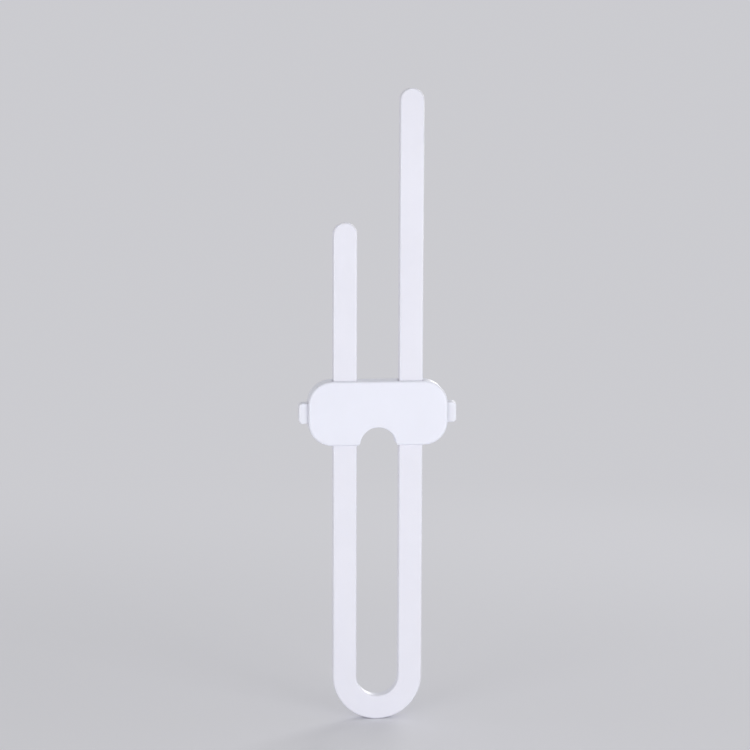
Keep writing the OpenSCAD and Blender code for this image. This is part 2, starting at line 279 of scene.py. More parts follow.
def in_mm(group):
    """The sizes of a property group, with its lengths in millimetres."""
    made = SimpleNamespace()
    for name, prop in group.bl_rna.properties.items():
        if prop.type in {"FLOAT", "INT"}:
            value = getattr(group, name)
            setattr(made, name, value / MM if getattr(prop, "unit", "") == "LENGTH" else value)
    return made


def bar_plan(scene):
    """Places on the bar, in millimetres, from the frame and the bar's sizes."""
    bar = in_mm(scene.lock_bar)
    mesh_gap = in_mm(scene.lock_buttons).mesh_gap
    bar.leg_out = BAR_HIGH.x
    bar.leg_in = bar.leg_out - bar.leg_width
    bar.middle = (bar.leg_in + bar.leg_out) / 2
    bar.front = BAR_LOW.y
    bar.back = BAR_HIGH.y
    bar.long_tip = BAR_HIGH.z
    bar.short_tip = bar.short_leg - bar.leg_out
    bar.core_in = bar.leg_in + bar.wall
    bar.core_out = bar.leg_out - bar.wall
    bar.core_front = bar.front + bar.skin
    pawl_half = PAWL_TEETH / 2 * bar.pitch
    bar.rack_low = bar.travel_low - pawl_half - mesh_gap
    bar.rack_high = bar.travel_high + pawl_half + mesh_gap
    bar.first_flank = bar.travel_low - pawl_half
    return bar


def head_plan(scene):
    """Places on the head, in millimetres, from the frame and the head's sizes."""
    bar = bar_plan(scene)
    head = in_mm(scene.lock_head)
    head.half_width = HEAD_HIGH.x
    head.low = HEAD_LOW.z
    head.high = HEAD_HIGH.z
    head.middle = (head.low + head.high) / 2
    head.front = HEAD_LOW.y
    head.back = HEAD_HIGH.y
    head.inside = head.front + head.front_wall
    head.plate_front = head.back - head.rear_wall
    head.end_in = head.half_width - head.side_wall
    head.channel_in = bar.leg_in - head.run_gap
    head.channel_out = bar.leg_out + head.run_gap
    head.guide_in = head.channel_in - head.side_wall
    head.guide_out = head.channel_out + head.side_wall
    head.seat = head.plate_front - head.rear_wall
    boss_x = (head.guide_in + head.side_wall / 2) / 2
    boss_z = head.middle + head.notch_radius / 2
    head.bosses = [(side * boss_x, boss_z) for side in (1, -1)]
    return head


def button_plan(scene):
    """Places on the right button, in millimetres, and of the four pegs, which clear the buttons."""
    bar = bar_plan(scene)
    head = head_plan(scene)
    button = in_mm(scene.lock_buttons)
    button.half = button.height / 2
    button.middle = head.middle
    button.front = head.front + button.drop
    button.out = BUTTON_HIGH.x
    button.block_front = head.inside + head.run_gap
    button.block_in = head.guide_out + button.stroke + head.fit_gap
    button.flange_out = head.end_in - head.run_gap
    button.flange_half = button.half + button.flange_lip
    button.slide_front = bar.back + head.run_gap
    button.slide_back = button.slide_front + button.slide
    button.pawl_tip = bar.core_out - button.mesh_gap
    button.pawl_root = button.pawl_tip - bar.tooth
    button.pawl_back = button.pawl_root - button.pawl
    button.pawl_front = bar.core_front + head.run_gap
    button.pawl_half = PAWL_TEETH / 2 * bar.pitch - button.mesh_gap
    button.spring_radius = (SPRING_HIGH.z - SPRING_LOW.z) / 2
    button.spring_y = (SPRING_LOW.y + SPRING_HIGH.y) / 2
    button.pocket_radius = button.spring_radius + head.run_gap
    button.pocket_end = button.block_in + button.pocket
    peg_x = head.guide_out + head.peg / 2 + head.fit_gap
    peg_z = button.flange_half + head.run_gap + head.socket / 2
    button.pegs = [(side * peg_x, head.middle + up * peg_z) for side in (1, -1) for up in (1, -1)]
    return button


def clear_selection():
    """Leaves edit mode and deselects everything."""
    if bpy.context.object and bpy.context.object.mode != "OBJECT":
        bpy.ops.object.mode_set(mode="OBJECT")
    bpy.ops.object.select_all(action="DESELECT")


def pick_object(piece):
    clear_selection()
    bpy.context.view_layer.objects.active = piece
    piece.select_set(True)


def apply_place(piece):
    pick_object(piece)
    bpy.ops.object.transform_apply(location=True, rotation=True, scale=True)
    return piece


def block(name, low, high):
    """A block between two corners."""
    clear_selection()
    middle = [(a + b) / 2 for a, b in zip(low, high)]
    bpy.ops.mesh.primitive_cube_add(size=1, location=middle)
    piece = bpy.context.object
    piece.name = name
    piece.scale = [b - a for a, b in zip(low, high)]
    return apply_place(piece)


def both_sides(name, low, high):
    """A block on the right, from its two corners, and its mirror image on the left."""
    right = block(name, low, high)
    left = block(name, (-high[0], low[1], low[2]), (-low[0], high[1], high[2]))
    return [right, left]


def rod(name, radius, start, end, axis, sides):
    """A round bar from one point to another, along x or y."""
    clear_selection()
    turn = {"X": (0, math.pi / 2, 0), "Y": (math.pi / 2, 0, 0)}[axis]
    reach, middle = Vector(end) - Vector(start), (Vector(start) + Vector(end)) / 2
    bpy.ops.mesh.primitive_cylinder_add(
        vertices=sides, radius=radius, depth=reach.length, location=middle, rotation=turn
    )
    piece = bpy.context.object
    piece.name = name
    return apply_place(piece)


def post(name, radius, x, z, front, back, sides=40):
    """A rod that runs straight back from one depth to another."""
    return rod(name, radius, (x, front, z), (x, back, z), "Y", sides)


def open_mesh(piece):
    """Opens the piece in edit mode, with all of it selected."""
    pick_object(piece)
    bpy.ops.object.mode_set(mode="EDIT")
    bpy.ops.mesh.select_all(action="SELECT")


def select(piece, kind, test):
    """Opens the piece in edit mode and selects the vertices, edges or faces that pass a test."""
    open_mesh(piece)
    bpy.ops.mesh.select_mode(type=kind)
    bpy.ops.mesh.select_all(action="DESELECT")
    shape = bmesh.from_edit_mesh(piece.data)
    parts = {"VERT": shape.verts, "EDGE": shape.edges, "FACE": shape.faces}[kind]
    found = [part for part in parts if test(part)]
    if not found:
        raise RuntimeError(f"nothing to select on {piece.name}")
    for part in found:
        part.select_set(True)
    if kind == "VERT":
        shape.select_flush(True)
    else:
        shape.select_flush_mode()
    bmesh.update_edit_mesh(piece.data)


def all_at(part, axis, value):
    """Whether every corner of an edge or face lies at a value along an axis."""
    return all(abs(v.co[axis] - value) < OFF_PLANE for v in part.verts)


def is_sharp(edge):
    return len(edge.link_faces) == 2 and edge.calc_face_angle() > SHARP


def along_y(edge):
    x, y, z = (abs(a - b) for a, b in zip(*(v.co for v in edge.verts)))
    return x < OFF_LINE and z < OFF_LINE and y > OFF_LINE


def bevel(radius, segments):
    """Rounds the selected edges."""
    bpy.ops.mesh.bevel(offset=radius, segments=segments, affect="EDGES")


def round_rim(piece, y, radius, segments):
    """Rounds the sharp edges that lie at one depth, such as those round a front face."""
    select(piece, "EDGE", lambda edge: all_at(edge, Y, y) and is_sharp(edge))
    bevel(radius, segments)


def draw_out(x, y, z):
    """Extrudes what is selected by a distance."""
    bpy.ops.mesh.extrude_region_move(TRANSFORM_OT_translate={"value": (x, y, z)})


def tidy_mesh(piece, reach=SEAM_REACH):
    """Merges points within reach, turns every face outwards and leaves edit mode."""
    open_mesh(piece)
    bpy.ops.mesh.remove_doubles(threshold=reach)
    bpy.ops.mesh.normals_make_consistent(inside=False)
    bpy.ops.object.mode_set(mode="OBJECT")
    return piece


def drop_spare_points(piece):
    """Joins faces that lie in one plane and drops the points left over on straight edges."""
    open_mesh(piece)
    bpy.ops.mesh.dissolve_limited(angle_limit=FLAT)
    bpy.ops.object.mode_set(mode="OBJECT")


def check_closed(piece):
    """Stops the script if the piece isn't one closed skin with its faces outwards."""
    shape = bmesh.new()
    shape.from_mesh(piece.data)
    gaps = sum(1 for edge in shape.edges if len(edge.link_faces) != 2)
    volume = shape.calc_volume(signed=True)
    shape.free()
    if gaps or volume <= 0:
        raise RuntimeError(f"{piece.name} isn't closed: {gaps} open edges, volume {volume:.1f}")


def apply_modifier(piece, kind, **settings):
    pick_object(piece)
    modifier = piece.modifiers.new(kind.title(), kind)
    for key, value in settings.items():
        setattr(modifier, key, value)
    bpy.ops.object.modifier_apply(modifier=modifier.name)


def combine(piece, tools, operation):
    """Cuts, joins or intersects a piece with each tool in turn, and removes the tools."""
    for tool in tools:
        apply_modifier(piece, "BOOLEAN", operation=operation, object=tool, solver="EXACT")
        bpy.data.objects.remove(tool)
    return piece


def cut(piece, *tools):
    return combine(piece, tools, "DIFFERENCE")


def add(piece, *tools):
    return combine(piece, tools, "UNION")


def merge_objects(name, pieces):
    """Makes one object of several that don't touch."""
    clear_selection()
    for piece in pieces:
        piece.select_set(True)
    bpy.context.view_layer.objects.active = pieces[0]
    if len(pieces) > 1:
        bpy.ops.object.join()
    merged = bpy.context.object
    merged.name = name
    return merged


def mirrored(piece, name):
    """A copy of the piece on the other side, with its own mesh."""
    pick_object(piece)
    bpy.ops.object.duplicate()
    twin = bpy.context.object
    twin.name = name
    twin.scale.x = -1
    apply_place(twin)
    return tidy_mesh(twin)


def put_together(piece, name, body, finish, node):
    """Cleans a finished piece, scales it to metres, dresses it and sets it on its body."""
    piece.name = name
    piece.data.name = name
    tidy_mesh(piece)
    drop_spare_points(piece)
    check_closed(piece)
    piece.scale = (MM, MM, MM)
    apply_place(piece)
    bpy.ops.object.shade_smooth_by_angle(angle=SMOOTH)
    apply_modifier(piece, "WEIGHTED_NORMAL", keep_sharp=True)
    piece.data.materials.clear()
    piece.data.materials.append(material_of(finish))
    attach(piece, body)
    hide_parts(node)


def node_tree(name):
    material = bpy.data.materials.new(name)
    material.use_nodes = True
    tree = material.node_tree
    return material, tree, tree.nodes["Principled BSDF"]


def set_sockets(node, **values):
    """Sets a node's sockets, named with underscores for spaces, to fixed values."""
    for name, value in values.items():
        node.inputs[name.replace("_", " ")].default_value = value
    return node


def shade(tint, share):
    """A colour made darker or paler by a share, as a socket takes it."""
    return (*[min(1, part * share) for part in tint], 1)


def new_node(tree, kind, **values):
    return set_sockets(tree.nodes.new(f"ShaderNode{kind}"), **values)


def noise(tree, coordinates, waves, detail=3):
    texture = new_node(tree, "TexNoise", Scale=waves, Detail=detail)
    tree.links.new(coordinates, texture.inputs["Vector"])
    return texture.outputs["Fac"]


def uneven(tree, coordinates, waves, low, high):
    """A value that wanders between two others over the surface."""
    ramp = new_node(
        tree, "MapRange", From_Min=NOISE_LOW, From_Max=NOISE_HIGH, To_Min=low, To_Max=high
    )
    tree.links.new(noise(tree, coordinates, waves), ramp.inputs["Value"])
    return ramp.outputs["Result"]


def bump(tree, coordinates, waves, strength, depth, detail=3):
    """A bump node that raises the surface by a noise."""
    node = new_node(tree, "Bump", Strength=strength, Distance=depth)
    tree.links.new(noise(tree, coordinates, waves, detail), node.inputs["Height"])
    return node


def moulded_plastic(name, tint):
    """Semi-gloss white plastic: faintly cloudy, unevenly glossy, with the skin of a moulding."""
    material, tree, shader = node_tree(name)
    coordinates = new_node(tree, "TexCoord").outputs["Object"]

    mix = new_node(tree, "Mix")
    mix.data_type = "RGBA"
    set_sockets(mix, A=shade(tint, CLOUD_DARK), B=shade(tint, CLOUD_LIGHT))
    tree.links.new(uneven(tree, coordinates, CLOUD_WAVES, 0, 1), mix.inputs["Factor"])
    tree.links.new(mix.outputs["Result"], shader.inputs["Base Color"])

    tree.links.new(uneven(tree, coordinates, *GLOSS), shader.inputs["Roughness"])

    skin = bump(tree, coordinates, *SKIN, detail=2)
    flow = bump(tree, coordinates, *FLOW)
    tree.links.new(flow.outputs["Normal"], skin.inputs["Normal"])
    tree.links.new(skin.outputs["Normal"], shader.inputs["Normal"])

    set_sockets(
        shader,
        IOR=PLASTIC_IOR,
        Subsurface_Weight=UNDER_WEIGHT,
        Subsurface_Radius=UNDER_DEPTH,
        Subsurface_Scale=1,
    )
    return material


def drawn_steel(name, tint, roughness):
    """Bright steel with fine drawing marks."""
    material, tree, shader = node_tree(name)
    coordinates = new_node(tree, "TexCoord").outputs["Object"]
    set_sockets(shader, Metallic=1, Base_Color=shade(tint, 1))
    smooth, dull = roughness * MARK_SMOOTH, roughness * MARK_DULL
    marks = uneven(tree, coordinates, MARK_WAVES, smooth, dull)
    tree.links.new(marks, shader.inputs["Roughness"])
    scratches = bump(tree, coordinates, *SCRATCHES)
    tree.links.new(scratches.outputs["Normal"], shader.inputs["Normal"])
    return material


def material_of(name):
    """The lock's material of that name, made when it is first asked for."""
    if name in bpy.data.materials:
        return bpy.data.materials[name]
    tints = bpy.context.scene.lock_finishes
    maker, *look = {
        "white_bar": (moulded_plastic, tints.bar),
        "white_head": (moulded_plastic, tints.head),
        "white_button": (moulded_plastic, tints.button),
        "spring_wire": (drawn_steel, tints.steel, WIRE_ROUGHNESS),
        "zinc_screw": (drawn_steel, tints.steel, SCREW_ROUGHNESS),
    }[name]
    return maker(name, *look)


def swept_u(name, inner, outer, front, back, right_end, left_end, steps=48):
    """A U of plain section: a face spun round the bend, then drawn up along both legs."""
    clear_selection()
    middle = ((inner + outer) / 2, (front + back) / 2, 0)
    bpy.ops.mesh.primitive_plane_add(size=1, location=middle)
    piece = bpy.context.object
    piece.name = name
    piece.scale = (outer - inner, back - front, 1)
    apply_place(piece)
    select(piece, "FACE", lambda face: True)
    bpy.ops.mesh.spin(
        steps=steps, angle=-math.pi, center=(0, 0, 0), axis=(0, 1, 0), use_auto_merge=False
    )
    draw_out(0, 0, left_end)
    select(piece, "FACE", lambda face: all_at(face, Z, 0) and face.calc_center_median().x > 0)
    draw_out(0, 0, right_end)
    return tidy_mesh(piece)


def round_tip(piece, tip, side, radius, segments=14):
    """Rounds the end of a leg into a half circle."""

    def at_tip(edge):
        return along_y(edge) and all_at(edge, Z, tip) and edge.verts[0].co.x * side > 0

    select(piece, "EDGE", at_tip)
    bevel(radius, segments)
    tidy_mesh(piece)


def rack_teeth(bar, side, count):
    """The saw teeth of one leg: one tooth shaped from a block and repeated up the leg."""
    low = bar.first_flank
    rise = (SLOPE_SHARE - TIP_SHARE) * bar.pitch / bar.tooth
    tip_end = low + TIP_SHARE * bar.pitch
    base_end = low + SLOPE_SHARE * bar.pitch + SINK * rise
    tooth = block(
        "tooth",
        (bar.core_out - bar.tooth, bar.core_front - SINK, low),
        (bar.core_out + SINK, bar.back + OVER + SINK, base_end),
    )
    select(tooth, "VERT", lambda v: v.co.x < bar.core_out and v.co.z > tip_end)
    bpy.ops.transform.translate(value=(0, 0, tip_end - base_end))
    apply_modifier(
        tooth,
        "ARRAY",
        count=count,
        use_relative_offset=False,
        use_constant_offset=True,
        constant_offset_displace=(0, 0, bar.pitch),
    )
    if side < 0:
        tooth.scale.x = -1
        apply_place(tooth)
    return tidy_mesh(tooth)


def ribs_and_stops(bar):
    """The ribs that point at the bend's middle, and the walls that end the head's travel."""
    near = (bar.core_in - SINK, bar.core_front - SINK)
    far = (bar.core_out + SINK, bar.back + OVER + SINK)
    made = []
    for i in range(bar.bend_ribs):
        rib = block("rib", (*near, -bar.rib / 2), (*far, bar.rib / 2))
        rib.rotation_euler.y = math.pi * (i + 1) / (bar.bend_ribs + 1)
        made.append(apply_place(rib))
    made += both_sides("stop", (*near, bar.rack_low - bar.rib), (*far, bar.rack_low))
    made.append(block("stop", (*near, bar.rack_high), (*far, bar.rack_high + bar.rib)))
    return merge_objects("ribs", made)


def core_of_bar(bar):
    """What is hollow in the bar's back: its channel, less the ribs, stops and teeth that stay."""
    half = (bar.core_out - bar.core_in) / 2
    long_end = bar.long_tip - bar.leg_width / 2 + half
    mouth = bar.short_tip - bar.leg_width / 2
    core = swept_u(
        "core", bar.core_in, bar.core_out, bar.core_front, bar.back + OVER, long_end, mouth
    )
    round_tip(core, long_end, 1, half)

    flare = 1 + FLARE_SHARE * bar.wall / (2 * half)
    select(core, "FACE", lambda face: all_at(face, Z, mouth) and face.calc_center_median().x < 0)
    draw_out(0, 0, bar.leg_width / 2 + OVER)
    bpy.ops.transform.resize(value=(flare, 1, 1), center_override=(-bar.middle, 0, 0))

    cut(core, ribs_and_stops(bar))
    teeth = []
    for side, end in ((1, bar.rack_high), (-1, bar.short_tip - bar.entry)):
        teeth.append(rack_teeth(bar, side, int((end - bar.first_flank) / bar.pitch)))
    return cut(core, merge_objects("teeth", teeth))


class LOCK_OT_bar(bpy.types.Operator):
    """Model the U-shaped bar, with its cored back and its two racks"""

    bl_idname = "lock.bar"
    bl_label = "Bar"

    def execute(self, context):
        bar = bar_plan(context.scene)
        piece = swept_u(
            "bar", bar.leg_in, bar.leg_out, bar.front, bar.back, bar.long_tip, bar.short_tip
        )
        for side, tip in ((1, bar.long_tip), (-1, bar.short_tip)):
            round_tip(piece, tip, side, bar.leg_width / 2)
        round_rim(piece, bar.front, bar.edge_radius, segments=5)
        round_rim(piece, bar.back, bar.back_radius, segments=2)
        tidy_mesh(piece)
        cut(piece, core_of_bar(bar))
        put_together(piece, "bar_moulding", "bar", "white_bar", "u_bar")
        return {"FINISHED"}


def head_outline(head, name, inset, front, back, segments=16):
    """A slab with the head's rounded outline, drawn in by a distance."""
    slab = block(
        name,
        (inset - head.half_width, front, head.low + inset),
        (head.half_width - inset, back, head.high - inset),
    )
    select(slab, "EDGE", along_y)
    bevel(head.corner_radius - inset, segments)
    return tidy_mesh(slab)


def head_slab(head, name, inset, front, back):
    """The head's outline, drawn in by a distance, with its notch cut."""
    slab = head_outline(head, name, inset, front, back)
    radius = head.notch_radius + inset
    notch = post("notch", radius, 0, head.low, front - OVER, back + OVER, sides=96)
    return tidy_mesh(cut(slab, notch))


def notch_mouth(head, side, low):
    """What rounds one corner of the notch: a block less the rod that the corner keeps."""
    reach = head.notch_radius + head.notch_corner
    x = math.sqrt(reach**2 - head.notch_corner**2)
    touch = head.notch_radius / reach
    ends = sorted((side * x * touch * MOUTH_SHARE, side * x))
    mouth = block(
        "mouth",
        (ends[0], head.front - 2 * OVER, low - OVER),
        (ends[1], head.back + 2 * OVER, low + head.notch_corner * touch),
    )
    radius = head.notch_corner
    front, back = head.front - 3 * OVER, head.back + 3 * OVER
    kept = post("kept", radius, side * x, low + radius, front, back, sides=48)
    return cut(mouth, kept)


def notched_slab(head):
    """A slab a hair larger than the head, with the notch cut and its front edge rounded."""
    front, low = head.front - HAIR, head.low - HAIR
    slab = block(
        "notched",
        (-head.half_width - OVER, front, low),
        (head.half_width + OVER, head.back + OVER, head.high + OVER),
    )
    back = head.back + 2 * OVER
    notch = post("notch", head.notch_radius, 0, low, front - OVER, back, sides=96)
    cut(slab, notch, notch_mouth(head, 1, low), notch_mouth(head, -1, low))
    tidy_mesh(slab, reach=BEVEL_REACH)
    top = low + head.notch_radius + SINK

    def on_notch(edge):
        return all_at(edge, Y, front) and is_sharp(edge) and max(v.co.z for v in edge.verts) < top

    select(slab, "EDGE", on_notch)
    bevel(head.notch_edge, segments=4)
    return tidy_mesh(slab)


def head_block(head):
    """The head's outer form: rounded outline and front edges, and the notch."""
    shell = head_outline(head, "shell", 0, head.front, head.back, segments=24)
    round_rim(shell, head.front, head.edge_radius, segments=6)
    round_rim(shell, head.back, head.back_radius, segments=2)
    tidy_mesh(shell)
    return tidy_mesh(combine(shell, [notched_slab(head)], "INTERSECT"))


def posts(name, places, radius, front, back):
    """One round post at each place, as one object."""
    return merge_objects(name, [post(name, radius, x, z, front, back) for x, z in places])


def spring_nibs(head, button):
    """Nibs on the outer guide ribs that hold the springs' inner ends."""
    radius = button.spring_radius - button.spring_wire - head.run_gap
    low, high = head.guide_out - head.side_wall / 2, head.guide_out + button.stroke / 2
    nibs = []
    for side in (1, -1):
        start, end = ((x, button.spring_y, head.middle) for x in sorted((side * low, side * high)))
        nibs.append(rod("nib", radius, start, end, axis="X", sides=24))
    return merge_objects("nibs", nibs)


def head_hollows(scene):
    """All that is hollow in the front shell, as one shape: pockets, channels, slots and holes."""
    bar = bar_plan(scene)
    head = head_plan(scene)
    button = button_plan(scene)
    screw = in_mm(scene.lock_screws)
    floor = head.inside - SINK
    slot = button.half + head.run_gap
    low, high = head.middle - slot, head.middle + slot

    half_rib = head.side_wall / 2
    ribs = [block("rib", (-half_rib, floor, head.low), (half_rib, head.plate_front, head.high))]
    for near, far in ((head.guide_in, head.channel_in), (head.channel_out, head.guide_out)):
        ribs += both_sides("rib", (near, floor, head.low), (far, head.plate_front, head.high))
    bosses = posts("bosses", head.bosses, head.boss / 2, floor, head.seat)
    sockets = posts("sockets", button.pegs, head.socket / 2, floor, head.plate_front)
    hollow = head_slab(head, "hollow", head.side_wall, head.inside, head.back + OVER)
    cut(hollow, merge_objects("ribs", ribs + [bosses]), sockets, spring_nibs(head, button))

    channels = both_sides(
        "channel",
        (head.channel_in, head.inside, head.low - OVER),
        (head.channel_out, head.back + 2 * OVER, head.high + OVER),
    )
    rib_slots = both_sides(
        "rib_slot",
        (head.channel_out - OVER, bar.back, low),
        (head.guide_out + OVER, head.plate_front + SINK, high),
    )
    end_slots = both_sides(
        "end_slot",
        (head.end_in - OVER, button.front - head.run_gap, low),
        (head.half_width + OVER, head.back + 2 * OVER, high),
    )
    pilot_radius = (screw.shank + head.fit_gap) / 2
    pilots = posts("pilots", head.bosses, pilot_radius, head.inside, head.seat + SINK)
    hole_radius = (head.peg + head.fit_gap) / 2
    hole_end = head.plate_front - head.peg_length - head.fit_gap
    holes = posts("holes", button.pegs, hole_radius, hole_end, head.plate_front + SINK)
    return add(
        hollow,
        merge_objects("channels", channels + end_slots),
        merge_objects("slots", rib_slots + [pilots, holes]),
    )


class LOCK_OT_front_cover(bpy.types.Operator):
    """Model the deep front shell of the sliding head"""

    bl_idname = "lock.front_cover"
    bl_label = "Front cover"

    def execute(self, context):
        scene = context.scene
        shell = cut(head_block(head_plan(scene)), head_hollows(scene))
        tidy_mesh(shell, reach=CUT_REACH)
        put_together(shell, "front_shell", "head", "white_head", "front_cover")
        return {"FINISHED"}


def plate_tongues(head, button):
    """What stands on the plate: tongues in the channels and behind the tabs, and slide guides."""
    reach = head.side_wall + OVER
    near, far = head.channel_in + head.fit_gap, head.channel_out - head.fit_gap
    tongues = []
    for low, high in ((head.low, head.low + reach), (head.high - reach, head.high)):
        tongues += both_sides("tongue", (near, button.slide_front, low), (far, head.back, high))
    tongues += both_sides(
        "tongue",
        (head.half_width - reach, head.plate_front, head.middle - button.half),
        (head.half_width - head.fit_gap / 2, head.back, head.middle + button.half),
    )
    start = max(button.half, button.pawl_half) + head.run_gap
    for up in (1, -1):
        ends = sorted((head.middle + up * start, head.middle + up * (start + head.side_wall)))
        tongues += both_sides(
            "guide",
            (head.channel_in + head.run_gap, button.slide_front + head.run_gap, ends[0]),
            (head.channel_out - head.run_gap, head.plate_front + SINK, ends[1]),
        )
    return tongues


def back_plate(scene):
    """The plate with its tongues, pads and pegs, and the counterbored holes for the screws."""
    head = head_plan(scene)
    button = button_plan(scene)
    screw = in_mm(scene.lock_screws)
    inset = head.side_wall + head.fit_gap
    plate = head_slab(head, "plate", inset, head.plate_front, head.back)
    round_rim(plate, head.back, head.back_radius, segments=2)
    tidy_mesh(plate)
    add(plate, *plate_tongues(head, button))

    peg_tip = head.plate_front - head.peg_length
    add(
        plate,
        posts("pads", head.bosses, head.boss / 2, head.seat, head.plate_front + SINK),
        posts("pegs", button.pegs, head.peg / 2, peg_tip, head.back - SINK),
    )
    seat = head.back - screw.head_height - head.fit_gap
    bore, hole = screw.head / 2 + head.fit_gap, screw.shank / 2 + head.fit_gap
    return cut(
        plate,
        posts("counterbores", head.bosses, bore, seat, head.back + OVER),
        posts("clearance", head.bosses, hole, head.seat - OVER, seat + SINK),
    )


class LOCK_OT_rear_cover(bpy.types.Operator):
    """Model the back plate of the sliding head"""

    bl_idname = "lock.rear_cover"
    bl_label = "Back plate"

    def execute(self, context):
        plate = back_plate(context.scene)
        put_together(plate, "rear_plate", "head", "white_head", "rear_cover")
        return {"FINISHED"}


def pawl_tooth(bar, button, index):
    """One tooth of the pawl, which fits between two teeth of the rack."""
    flank = button.middle + (index + 1 - PAWL_TEETH / 2) * bar.pitch - button.mesh_gap
    rise = (SLOPE_SHARE - TIP_SHARE) * bar.pitch / bar.tooth
    height = bar.tooth - button.mesh_gap
    low = flank + button.mesh_gap - bar.pitch + TIP_SHARE * bar.pitch + 2 * button.mesh_gap
    tooth = block(
        "pawl_tooth",
        (button.pawl_root - SINK, button.pawl_front, low - SINK * rise),
        (button.pawl_tip, button.slide_back, flank),
    )
    select(tooth, "VERT", lambda v: v.co.x > button.pawl_root and v.co.z < flank - SINK)
    bpy.ops.transform.translate(value=(0, 0, (height + SINK) * rise))
    return tidy_mesh(tooth)


def button_block(button, name, near, far, front, back, half):
    """A block between two places across and two depths, about the button's middle height."""
    return block(name, (near, front, button.middle - half), (far, back, button.middle + half))


def button_tab(button):
    """The tab that is pushed, with its rounded rim."""
    near, back = button.block_in, button.slide_back
    tab = button_block(button, "tab", near, button.out, button.front, back, button.half)
    select(tab, "EDGE", lambda edge: along_y(edge) and all_at(edge, X, button.out))
    bevel(button.corner_radius, segments=8)
    tidy_mesh(tab)

    def on_rim(edge):
        on_face = all_at(edge, Y, button.front) or all_at(edge, Y, back)
        return on_face and is_sharp(edge) and not all_at(edge, X, near)

    select(tab, "EDGE", on_rim)
    bevel(button.rim_radius, segments=5)
    return tidy_mesh(tab)


def button_flange(button):
    """The flange that keeps the button in the head, rounded to clear the head's own corners."""
    out, front, back = button.flange_out, button.block_front, button.slide_back
    near = out - button.flange
    flange = button_block(button, "flange", near, out, front, back, button.flange_half)
    select(flange, "EDGE", lambda edge: along_y(edge) and all_at(edge, X, out))
    bevel(button.flange_corner, segments=4)
    return tidy_mesh(flange)


def whole_button(scene):
    """The right button in one moulding: tab, retaining flange, slide, pawl and spring pocket."""
    bar = bar_plan(scene)
    button = button_plan(scene)
    near, half, back = button.block_in, button.half, button.slide_back
    stem, slide, pawl = [
        button_block(button, *part)
        for part in (
            ("stem", near, button.flange_out, button.block_front, back - SINK, half),
            ("slide", button.pawl_back, near + OVER, button.slide_front, back, half),
            ("pawl", button.pawl_back, button.pawl_root, button.pawl_front, back, button.pawl_half),
        )
    ]
    piece = add(button_tab(button), stem, button_flange(button), slide, pawl)
    add(piece, merge_objects("teeth", [pawl_tooth(bar, button, i) for i in range(PAWL_TEETH)]))
    start = (near - OVER, button.spring_y, button.middle)
    end = (button.pocket_end, button.spring_y, button.middle)
    return cut(piece, rod("pocket", button.pocket_radius, start, end, axis="X", sides=48))


class LOCK_OT_buttons(bpy.types.Operator):
    """Model the two buttons that are squeezed to free the head"""

    bl_idname = "lock.buttons"
    bl_label = "Buttons"

    def execute(self, context):
        right = whole_button(context.scene)
        left = mirrored(right, "left")
        for piece, side in ((right, "right"), (left, "left")):
            body = f"{side}_button"
            put_together(piece, f"{side}_tab", body, "white_button", body)
        return {"FINISHED"}


def helix(start, end, radius, turns, closed, per_turn=20):
    """Points along a coil that runs along x, with one turn of the closed pitch at each end."""
    open_pitch = (end - start - 2 * closed) / (turns - 2)
    points = []
    for i in range(turns * per_turn + 1):
        turn = i / per_turn
        lead = (min(turn, 1) + max(turn - (turns - 1), 0)) * closed
        middle = min(max(turn - 1, 0), turns - 2) * open_pitch
        angle = 2 * math.pi * turn
        points.append((start + lead + middle, radius * math.sin(angle), radius * math.cos(angle)))
    return points


def coil(name, points, wire):
    """A wire along the points, as a mesh with closed ends."""
    clear_selection()
    bpy.ops.curve.primitive_nurbs_path_add()
    piece = bpy.context.object
    piece.name = name
    piece.data.splines.clear()
    line = piece.data.splines.new("POLY")
    line.points.add(len(points) - 1)
    for place, point in zip(line.points, points):
        place.co = (*point, 1)
    piece.data.bevel_depth = wire / 2
    piece.data.bevel_resolution = 3
    piece.data.use_fill_caps = True
    pick_object(piece)
    bpy.ops.object.convert(target="MESH")
    return tidy_mesh(bpy.context.object)


class LOCK_OT_springs(bpy.types.Operator):
    """Model the two coil springs behind the buttons, at one fixed length"""

    bl_idname = "lock.springs"
    bl_label = "Springs"

    def execute(self, context):
        button = button_plan(context.scene)
        start, end = SPRING_LOW.x, SPRING_HIGH.x
        half_wire = button.spring_wire / 2
        path = helix(
            start + half_wire,
            end - half_wire,
            button.spring_radius - half_wire,
            button.spring_turns,
            CLOSED_PITCH * button.spring_wire,
        )
        right = coil("right", path, button.spring_wire)
        right.location = (0, button.spring_y, button.middle)
        apply_place(right)
        left = mirrored(right, "left")
        for piece, side, sign in ((right, "right", 1), (left, "left", -1)):
            node = f"{side}_spring"
            put_together(piece, f"{side}_coil", "head", "spring_wire", node)
            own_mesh(piece)
        return {"FINISHED"}


def screw_shank(screw, seat, tip):
    """The screw's shank with a blunt point."""
    core = screw.shank / 2 - screw.thread_depth
    shank = post("shank", core, 0, 0, tip + core, seat + SINK, sides=24)
    select(shank, "FACE", lambda face: all_at(face, Y, tip + core))
    draw_out(0, -core, 0)
    bpy.ops.transform.resize(value=(POINT_SHARE, 1, POINT_SHARE), center_override=(0, tip, 0))
    return tidy_mesh(shank)


def screw_thread(screw, seat, tip):
    """A ridge that winds along the shank."""
    low, high = tip + screw.shank / 2, seat - screw.thread_pitch
    turns = round((high - low) / screw.thread_pitch)
    wire = 2 * screw.thread_depth
    pitch = (high - low) / turns
    path = helix(low, high, screw.shank / 2 - wire / 2, turns, pitch)
    ridge = coil("thread", path, wire)
    ridge.rotation_euler.z = math.pi / 2
    return apply_place(ridge)


